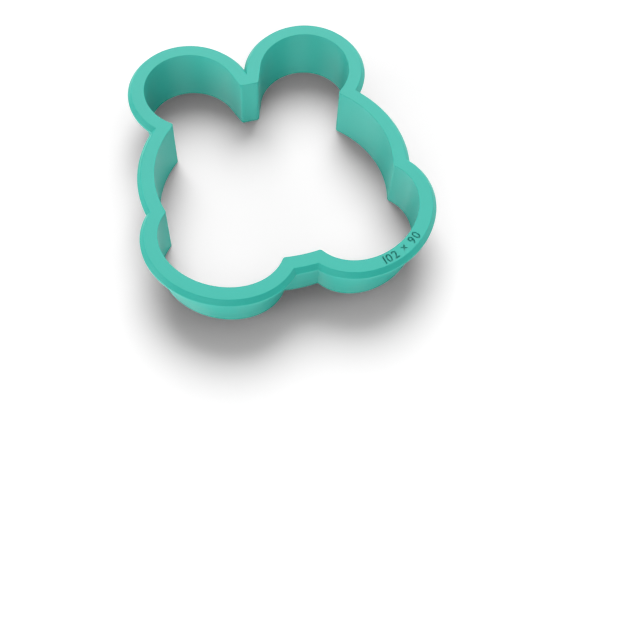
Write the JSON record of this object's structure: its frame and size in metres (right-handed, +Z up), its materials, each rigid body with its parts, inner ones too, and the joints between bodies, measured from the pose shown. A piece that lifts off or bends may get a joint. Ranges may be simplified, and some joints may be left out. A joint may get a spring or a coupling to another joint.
{
  "type": "cookie cutter",
  "caption": "Rabbit-outline cookie cutter: an open lobed ring with a broad flat grip rim that slopes out at its side, a drafted upright wall and a thin cutting edge below.",
  "frame": {"origin": "under the middle of the whole outline, level with the cutting tip", "axes": "+Z up from the cutting tip to the grip rim, +Y towards the ears, +X to the right with the ears pointing away"},
  "size_m": [0.1026, 0.1138, 0.0217],
  "materials": {
    "teal_plastic": "satin teal plastic, plain"
  },
  "bodies": {
    "root": {"grip_rim": "teal_plastic", "cutter_wall": "teal_plastic", "cutting_edge": "teal_plastic"}
  },
  "joints": []
}
